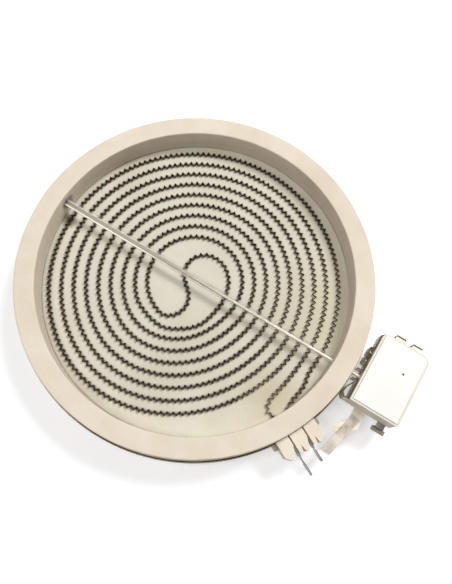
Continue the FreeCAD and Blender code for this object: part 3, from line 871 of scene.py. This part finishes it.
def make_floor():
    """Large pale floor that reads as white and keeps the object's shadow."""
    vertices = [(x * floor_reach, y * floor_reach, floor_level)
                for x, y in ((-1, -1), (1, -1), (1, 1), (-1, 1))]
    floor = mesh_object("floor", vertices, [(0, 1, 2, 3)])
    material = bpy.data.materials.new("floor_paper")
    material.use_nodes = True
    tree = material.node_tree
    shader = tree.nodes["Principled BSDF"]
    seen = seen_or_mirrored(tree.nodes)
    paper = tree.nodes.new("ShaderNodeMix")
    paper.data_type = "RGBA"
    paper.inputs[6].default_value = (floor_bounce, floor_bounce, floor_bounce, 1)
    paper.inputs[7].default_value = (floor_white, floor_white, floor_white, 1)
    tree.links.new(seen, paper.inputs[0])
    tree.links.new(paper.outputs[2], shader.inputs["Base Color"])
    shader.inputs["Roughness"].default_value = 1.0
    shader.inputs["Specular IOR Level"].default_value = 0.0
    shader.inputs["Emission Color"].default_value = (1, 1, 1, 1)
    lift = tree.nodes.new("ShaderNodeMath")
    lift.operation = "MULTIPLY"
    lift.inputs[1].default_value = floor_lift
    tree.links.new(seen, lift.inputs[0])
    tree.links.new(lift.outputs[0], shader.inputs["Emission Strength"])
    floor.data.materials.append(material)


def make_world():
    """Even soft light; white where the camera or a mirror sees it."""
    world = bpy.data.worlds.new("studio")
    world.use_nodes = True
    bpy.context.scene.world = world
    tree = world.node_tree
    background = tree.nodes["Background"]
    background.inputs["Color"].default_value = world_tint
    strength = tree.nodes.new("ShaderNodeMapRange")
    strength.inputs["To Min"].default_value = world_light
    strength.inputs["To Max"].default_value = 1.0
    tree.links.new(seen_or_mirrored(tree.nodes), strength.inputs["Value"])
    tree.links.new(strength.outputs["Result"], background.inputs["Strength"])


def make_lamp(name, place, size, power):
    """Square soft lamp that points at the middle of the dish."""
    lamp = bpy.data.lights.new(name, "AREA")
    lamp.shape = "SQUARE"
    lamp.size = size
    lamp.energy = power
    holder = linked_object(name, lamp)
    holder.location = place
    holder.rotation_euler = (-Vector(place)).to_track_quat("-Z", "Y").to_euler()


make_camera()
make_floor()
make_world()
for lamp_values in lamps:
    make_lamp(*lamp_values)

bpy.context.scene.view_settings.view_transform = "Standard"

# Paints. Colours are 8-bit sRGB; marks on an axis are in metres.
far_mouth = (-ring_inner_radius, tube_y, tube_z)
ring_paint = insulation(
    "ring_insulation", (241, 230, 212), (235, 222, 202), (218, 200, 176),
    # Painted shade: a dark patch in and round the far tube mouth
    spots=[(far_mouth, 9.0, 0.45, (56, 47, 37))],
)
base_paint = insulation(
    "base_insulation", (230, 225, 208), (224, 218, 199), (204, 195, 171),
    # Painted shade between the ribbon's folds and in other narrow corners
    corner_shade=(50, 39, 20),
    spots=[
        # Painted bounce light: a broad yellowish tint over the east part of the base
        ((78, 22, base_top), 52.0, 0.3, (220, 213, 189)),
        ((80, -40, base_top), 26.0, 0.2, (212, 202, 176)),
        # Painted shadow: the tube's shadow on the base beside the far wall
        ((-96, tube_y - 8, base_top), 9.0, 0.3, (70, 60, 46)),
    ],
)
head_paint = ceramic("head_ceramic", (238, 231, 215), (230, 221, 202), (194, 184, 166), 0.4)
lid_paint = ceramic("lid_ceramic", (255, 253, 249), (252, 249, 242), (230, 222, 208), 0.3)
block_paint = ceramic("block_ceramic", (246, 237, 219), (234, 221, 198), (190, 170, 140), 0.5)
bright_steel = steel("bright_steel", (204, 197, 186), (150, 138, 122), 0.25, 0.45, (1, 6, 1))
strip_steel = steel(
    "link_strip_steel", (206, 199, 188), (154, 143, 128), 0.25, 0.45, (1, 6, 1),
    # Painted highlight: the far end of the strip is near white
    marks=[("Y", -0.0515, -0.0535, (250, 248, 243))],
)
plate_steel = steel("link_plate_steel", (230, 226, 217), (204, 190, 168), 0.25, 0.45)
tab_steel = steel(
    "tab_steel", (206, 196, 178), (150, 136, 112), 0.22, 0.42, (1, 1, 5),
    # Painted shade: dark along the tabs' bends
    marks=[("Y", 0.0312, 0.0322, (44, 40, 36))],
)
signal_steel = steel(
    "signal_steel", (190, 186, 180), (128, 120, 108), 0.25, 0.45, (1, 1, 5),
    # Painted shade: faces that do not look up are dark
    marks=[("up", 0.7, 0.3, (34, 31, 28))],
)
blade_steel = steel("blade_steel", (150, 150, 152), (104, 102, 100), 0.22, 0.42, (1, 1, 5))
bracket_steel = steel(
    "bracket_steel", (232, 225, 212), (168, 150, 120), 0.3, 0.5, (4, 1, 1), metallic=0.5,
    marks=[("up", 0.6, 0.9, (58, 50, 40))],
)
pin_steel = steel("pin_steel", (96, 70, 44), (60, 42, 26), 0.4, 0.6)
dish_steel = steel(
    "dish_steel", (176, 170, 160), (138, 128, 114), 0.25, 0.45, (1, 1, 8),
    marks=[("up", 0.5, 0.9, (136, 128, 116))],
)
rod_alloy = steel(
    "rod_alloy", (236, 228, 210), (206, 196, 174), 0.3, 0.4, (0.1, 1, 1), metallic=0.3,
    # Painted shade on the rod's underside; the rod is also darker towards its far end
    marks=[("X", 0.06, -0.03, (178, 170, 148)), ("up", 0.3, 0.0, (96, 88, 68))],
)

make_ring(ring_paint)
make_base(base_paint)
make_ribbon(oxidised_alloy("ribbon_alloy"))
make_tube(quartz("tube_quartz"))
make_rod(rod_alloy)

# Pieces that keep their CAD form: node, paint, slot, width and steps of the eased edge
dressed_pieces = (
    ("rod_nut", tab_steel, "nut_steel", 0.15, 2),
    ("dish", dish_steel, "dish_steel", 0.12, 2),
    ("limiter_body", head_paint, "head_ceramic", 0.45, 3),
    ("limiter_lid", lid_paint, "lid_ceramic", 0.35, 3),
    ("lid_pin", pin_steel, "pin_metal", 0.1, 2),
    ("terminal_block", block_paint, "block_ceramic", 0.45, 3),
    ("power_terminal", plate_steel, "link_plate_steel", 0.12, 2),
    ("supply_terminal", tab_steel, "tab_steel", 0.12, 2),
    ("lamp_terminal", tab_steel, "tab_steel", 0.12, 2),
    ("signal_terminal", signal_steel, "tab_steel", 0.12, 2),
    ("limiter_bracket", bracket_steel, "bracket_steel", 0.12, 2),
    ("free_blade", blade_steel, "blade_steel", 0.12, 2),
    ("linked_blade", blade_steel, "blade_steel", 0.12, 2),
    ("link_strip", strip_steel, "link_steel", 0.1, 2),
    ("power_spring", bright_steel, "spring_steel", 0.05, 2),
    ("signal_spring", bright_steel, "spring_steel", 0.05, 2),
    ("power_contact", bright_steel, "contact_metal", 0.05, 2),
    ("signal_contact", bright_steel, "contact_metal", 0.05, 2),
    ("striker", head_paint, "striker_ceramic", 0.05, 2),
)
for piece_values in dressed_pieces:
    dressed(*piece_values)
